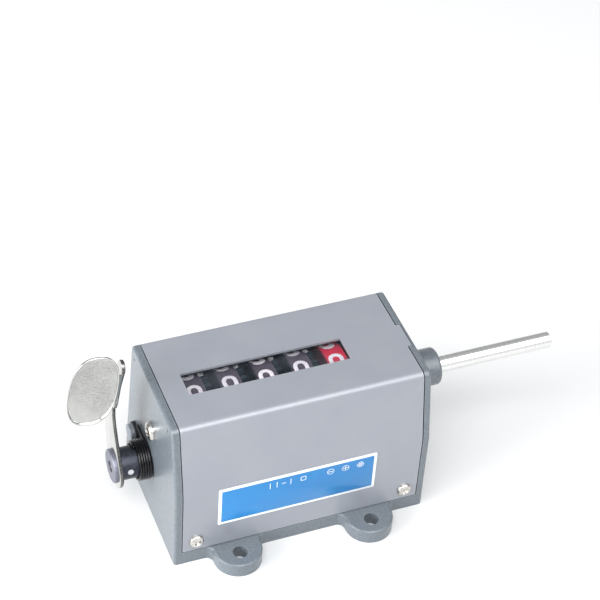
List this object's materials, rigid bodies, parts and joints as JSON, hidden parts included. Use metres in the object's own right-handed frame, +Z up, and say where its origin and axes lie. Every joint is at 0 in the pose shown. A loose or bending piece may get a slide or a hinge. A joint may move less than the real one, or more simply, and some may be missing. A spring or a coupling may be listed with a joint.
{
  "type": "revolution counter",
  "caption": "Shaft-driven revolution counter: cast grey frame with four feet, folded cover with a window over number wheels, and a spring-return thumb reset lever.",
  "frame": {"origin": "centre of the four foot holes, on the underside of the base", "axes": "+X along the input shaft towards its free end, +Y towards the rear, +Z up"},
  "size_m": [0.2147, 0.0966, 0.0954],
  "materials": {
    "cast_grey": "hammertone grey enamel on a die casting",
    "sheet_grey": "satin light blue-grey enamel",
    "clear_pane": "clear, slightly tinted",
    "label_blue": "printed blue plate with a white border",
    "nickel_screw": "bright nickel plate",
    "zinc_steel": "zinc plated sheet steel",
    "ground_steel": "ground",
    "turned_steel": "turned",
    "bronze": "sintered bronze",
    "gear_brass": "milled brass",
    "dark_hub": "dark grey oxide finish",
    "black_rubber": "matt black",
    "polished_shaft": "polished",
    "nickel_lever": "bright nickel plate, lightly brushed",
    "black_wire": "blackened spring wire",
    "drum_dark": "dark purplish grey moulding with white figures",
    "drum_red": "red moulding with white figures",
    "ring_black": "black moulding",
    "pinion_white": "natural acetal"
  },
  "bodies": {
    "frame": {"base_frame": "cast_grey", "cover": "sheet_grey", "window_pane": "clear_pane", "label_plate": "label_blue", "cover_screws": "nickel_screw", "axle_screw": "nickel_screw", "gear_plate_screws": "zinc_steel", "wheel_axle": "ground_steel", "axle_spacers": "turned_steel", "carry_shaft": "ground_steel", "carry_spacers": "turned_steel", "gear_plate": "zinc_steel", "countershaft_bush": "bronze", "input_bush": "bronze", "reset_bush": "bronze", "spring_anchor_post": "dark_hub", "post_sleeve": "black_rubber"},
    "input": {"input_shaft": "polished_shaft", "input_pinion": "turned_steel", "shaft_collar": "turned_steel", "collar_screw": "zinc_steel"},
    "counter": {"countershaft": "ground_steel", "counter_gear": "gear_brass", "counter_pinion": "gear_brass"},
    "wheel_1": {"number_wheel_1": "drum_red", "heart_cam_1": "gear_brass", "units_gear": "gear_brass"},
    "wheel_2": {"number_wheel_2": "drum_dark", "heart_cam_2": "gear_brass", "wheel_ring_2": "ring_black"},
    "wheel_3": {"number_wheel_3": "drum_dark", "heart_cam_3": "gear_brass", "wheel_ring_3": "ring_black"},
    "wheel_4": {"number_wheel_4": "drum_dark", "heart_cam_4": "gear_brass", "wheel_ring_4": "ring_black"},
    "wheel_5": {"number_wheel_5": "drum_dark", "heart_cam_5": "gear_brass", "wheel_ring_5": "ring_black"},
    "pinion_1": {"carry_pinion_1": "pinion_white"},
    "pinion_2": {"carry_pinion_2": "pinion_white"},
    "pinion_3": {"carry_pinion_3": "pinion_white"},
    "pinion_4": {"carry_pinion_4": "pinion_white"},
    "reset": {"reset_shaft": "ground_steel", "reset_hub": "dark_hub", "hub_cap": "dark_hub", "reset_lever": "nickel_lever", "hub_pin": "turned_steel", "reset_hammers": "zinc_steel", "reset_spring": "black_wire"}
  },
  "joints": [
    {"name": "input_spin", "type": "hinge", "parent": "frame", "child": "input", "pos_m": [0.09, -0.0045, 0.051], "axis": [-1, 0, 0], "continuous": true},
    {"name": "counter_spin", "type": "hinge", "parent": "frame", "child": "counter", "pos_m": [0.04, 0.0081, 0.0342], "axis": [-1, 0, 0], "continuous": true},
    {"name": "wheel_1_spin", "type": "hinge", "parent": "frame", "child": "wheel_1", "pos_m": [0.0224, -0.0045, 0.051], "axis": [-1, 0, 0], "continuous": true},
    {"name": "wheel_2_spin", "type": "hinge", "parent": "frame", "child": "wheel_2", "pos_m": [0.0071, -0.0045, 0.051], "axis": [-1, 0, 0], "continuous": true},
    {"name": "wheel_3_spin", "type": "hinge", "parent": "frame", "child": "wheel_3", "pos_m": [-0.0082, -0.0045, 0.051], "axis": [-1, 0, 0], "continuous": true},
    {"name": "wheel_4_spin", "type": "hinge", "parent": "frame", "child": "wheel_4", "pos_m": [-0.0235, -0.0045, 0.051], "axis": [-1, 0, 0], "continuous": true},
    {"name": "wheel_5_spin", "type": "hinge", "parent": "frame", "child": "wheel_5", "pos_m": [-0.0388, -0.0045, 0.051], "axis": [-1, 0, 0], "continuous": true},
    {"name": "pinion_1_spin", "type": "hinge", "parent": "frame", "child": "pinion_1", "pos_m": [0.01475, 0.01781, 0.03812], "axis": [-1, 0, 0], "continuous": true},
    {"name": "pinion_2_spin", "type": "hinge", "parent": "frame", "child": "pinion_2", "pos_m": [-0.00055, 0.01781, 0.03812], "axis": [-1, 0, 0], "continuous": true},
    {"name": "pinion_3_spin", "type": "hinge", "parent": "frame", "child": "pinion_3", "pos_m": [-0.01585, 0.01781, 0.03812], "axis": [-1, 0, 0], "continuous": true},
    {"name": "pinion_4_spin", "type": "hinge", "parent": "frame", "child": "pinion_4", "pos_m": [-0.03115, 0.01781, 0.03812], "axis": [-1, 0, 0], "continuous": true},
    {"name": "reset_push", "type": "hinge", "parent": "frame", "child": "reset", "pos_m": [-0.06, 0.0018, 0.0287], "axis": [-1, 0, 0], "range_deg": [0, 45], "stiffness_Nm_per_rad": 0.04, "springref_deg": -28.65, "deforming": ["reset_spring"]}
  ],
  "couplings": [
    {"joint": "counter_spin", "follows": "input_spin", "ratio": -0.4},
    {"joint": "wheel_1_spin", "follows": "input_spin", "ratio": 0.1},
    {"joint": "wheel_2_spin", "follows": "input_spin", "ratio": 0.01},
    {"joint": "wheel_3_spin", "follows": "input_spin", "ratio": 0.001},
    {"joint": "wheel_4_spin", "follows": "input_spin", "ratio": 0.0001},
    {"joint": "wheel_5_spin", "follows": "input_spin", "ratio": 0.00001},
    {"joint": "pinion_1_spin", "follows": "input_spin", "ratio": -0.025},
    {"joint": "pinion_2_spin", "follows": "input_spin", "ratio": -0.0025},
    {"joint": "pinion_3_spin", "follows": "input_spin", "ratio": -0.00025},
    {"joint": "pinion_4_spin", "follows": "input_spin", "ratio": -0.000025}
  ]
}
